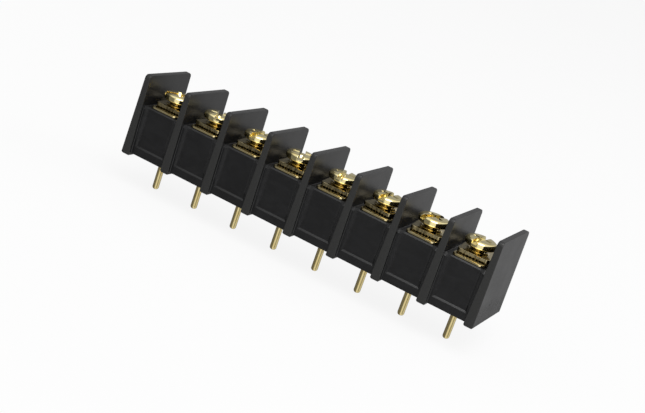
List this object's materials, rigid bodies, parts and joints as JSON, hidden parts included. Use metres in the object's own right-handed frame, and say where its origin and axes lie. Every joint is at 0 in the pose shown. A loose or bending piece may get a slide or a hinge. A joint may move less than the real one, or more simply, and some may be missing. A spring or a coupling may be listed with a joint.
{
  "type": "barrier terminal strip",
  "caption": "Barrier terminal strip for a circuit board: black moulded base with tall barriers, plated screws with square clamp washers over plates, and round solder pins below.",
  "frame": {"origin": "middle of the strip on the board's face, under the middle barrier", "axes": "+X along the row of poles, -Y the front where the wires go in, +Z away from the board"},
  "size_m": [0.0778, 0.0148, 0.0228],
  "materials": {
    "black_plastic": "moulded, satin",
    "plated_strip": "yellow plated, rolled",
    "plated_pin": "yellow plated, drawn",
    "plated_washer": "yellow plated, stamped",
    "plated_screw": "yellow plated, bright"
  },
  "bodies": {
    "base": {"housing": "black_plastic", "terminal_1": "plated_strip", "terminal_2": "plated_strip", "terminal_3": "plated_strip", "terminal_4": "plated_strip", "terminal_5": "plated_strip", "terminal_6": "plated_strip", "terminal_7": "plated_strip", "terminal_8": "plated_strip", "pin_1": "plated_pin", "pin_2": "plated_pin", "pin_3": "plated_pin", "pin_4": "plated_pin", "pin_5": "plated_pin", "pin_6": "plated_pin", "pin_7": "plated_pin", "pin_8": "plated_pin"},
    "clamp_1": {"washer_1": "plated_washer"},
    "screw_body_1": {"screw_1": "plated_screw"},
    "clamp_2": {"washer_2": "plated_washer"},
    "screw_body_2": {"screw_2": "plated_screw"},
    "clamp_3": {"washer_3": "plated_washer"},
    "screw_body_3": {"screw_3": "plated_screw"},
    "clamp_4": {"washer_4": "plated_washer"},
    "screw_body_4": {"screw_4": "plated_screw"},
    "clamp_5": {"washer_5": "plated_washer"},
    "screw_body_5": {"screw_5": "plated_screw"},
    "clamp_6": {"washer_6": "plated_washer"},
    "screw_body_6": {"screw_6": "plated_screw"},
    "clamp_7": {"washer_7": "plated_washer"},
    "screw_body_7": {"screw_7": "plated_screw"},
    "clamp_8": {"washer_8": "plated_washer"},
    "screw_body_8": {"screw_8": "plated_screw"}
  },
  "joints": [
    {"name": "clamp_lift_1", "type": "slide", "parent": "base", "child": "clamp_1", "axis": [0, 0, 1], "range_m": [-0.00009, 0.0025]},
    {"name": "screw_turn_1", "type": "hinge", "parent": "clamp_1", "child": "screw_body_1", "pos_m": [-0.03325, -0.0017, 0.0128], "axis": [0, 0, 1], "range_deg": [-65, 1800.5]},
    {"name": "clamp_lift_2", "type": "slide", "parent": "base", "child": "clamp_2", "axis": [0, 0, 1], "range_m": [-0.00009, 0.0025]},
    {"name": "screw_turn_2", "type": "hinge", "parent": "clamp_2", "child": "screw_body_2", "pos_m": [-0.02375, -0.0017, 0.0128], "axis": [0, 0, 1], "range_deg": [-65, 1800.5]},
    {"name": "clamp_lift_3", "type": "slide", "parent": "base", "child": "clamp_3", "axis": [0, 0, 1], "range_m": [-0.00009, 0.0025]},
    {"name": "screw_turn_3", "type": "hinge", "parent": "clamp_3", "child": "screw_body_3", "pos_m": [-0.01425, -0.0017, 0.0128], "axis": [0, 0, 1], "range_deg": [-65, 1800.5]},
    {"name": "clamp_lift_4", "type": "slide", "parent": "base", "child": "clamp_4", "axis": [0, 0, 1], "range_m": [-0.00009, 0.0025]},
    {"name": "screw_turn_4", "type": "hinge", "parent": "clamp_4", "child": "screw_body_4", "pos_m": [-0.00475, -0.0017, 0.0128], "axis": [0, 0, 1], "range_deg": [-65, 1800.5]},
    {"name": "clamp_lift_5", "type": "slide", "parent": "base", "child": "clamp_5", "axis": [0, 0, 1], "range_m": [-0.00009, 0.0025]},
    {"name": "screw_turn_5", "type": "hinge", "parent": "clamp_5", "child": "screw_body_5", "pos_m": [0.00475, -0.0017, 0.0128], "axis": [0, 0, 1], "range_deg": [-65, 1800.5]},
    {"name": "clamp_lift_6", "type": "slide", "parent": "base", "child": "clamp_6", "axis": [0, 0, 1], "range_m": [-0.00009, 0.0025]},
    {"name": "screw_turn_6", "type": "hinge", "parent": "clamp_6", "child": "screw_body_6", "pos_m": [0.01425, -0.0017, 0.0128], "axis": [0, 0, 1], "range_deg": [-65, 1800.5]},
    {"name": "clamp_lift_7", "type": "slide", "parent": "base", "child": "clamp_7", "axis": [0, 0, 1], "range_m": [-0.00009, 0.0025]},
    {"name": "screw_turn_7", "type": "hinge", "parent": "clamp_7", "child": "screw_body_7", "pos_m": [0.02375, -0.0017, 0.0128], "axis": [0, 0, 1], "range_deg": [-65, 1800.5]},
    {"name": "clamp_lift_8", "type": "slide", "parent": "base", "child": "clamp_8", "axis": [0, 0, 1], "range_m": [-0.00009, 0.0025]},
    {"name": "screw_turn_8", "type": "hinge", "parent": "clamp_8", "child": "screw_body_8", "pos_m": [0.03325, -0.0017, 0.0128], "axis": [0, 0, 1], "range_deg": [-65, 1800.5]}
  ],
  "couplings": [
    {"joint": "screw_turn_1", "follows": "clamp_lift_1", "rad_per_m": 12566},
    {"joint": "screw_turn_2", "follows": "clamp_lift_2", "rad_per_m": 12566},
    {"joint": "screw_turn_3", "follows": "clamp_lift_3", "rad_per_m": 12566},
    {"joint": "screw_turn_4", "follows": "clamp_lift_4", "rad_per_m": 12566},
    {"joint": "screw_turn_5", "follows": "clamp_lift_5", "rad_per_m": 12566},
    {"joint": "screw_turn_6", "follows": "clamp_lift_6", "rad_per_m": 12566},
    {"joint": "screw_turn_7", "follows": "clamp_lift_7", "rad_per_m": 12566},
    {"joint": "screw_turn_8", "follows": "clamp_lift_8", "rad_per_m": 12566}
  ]
}
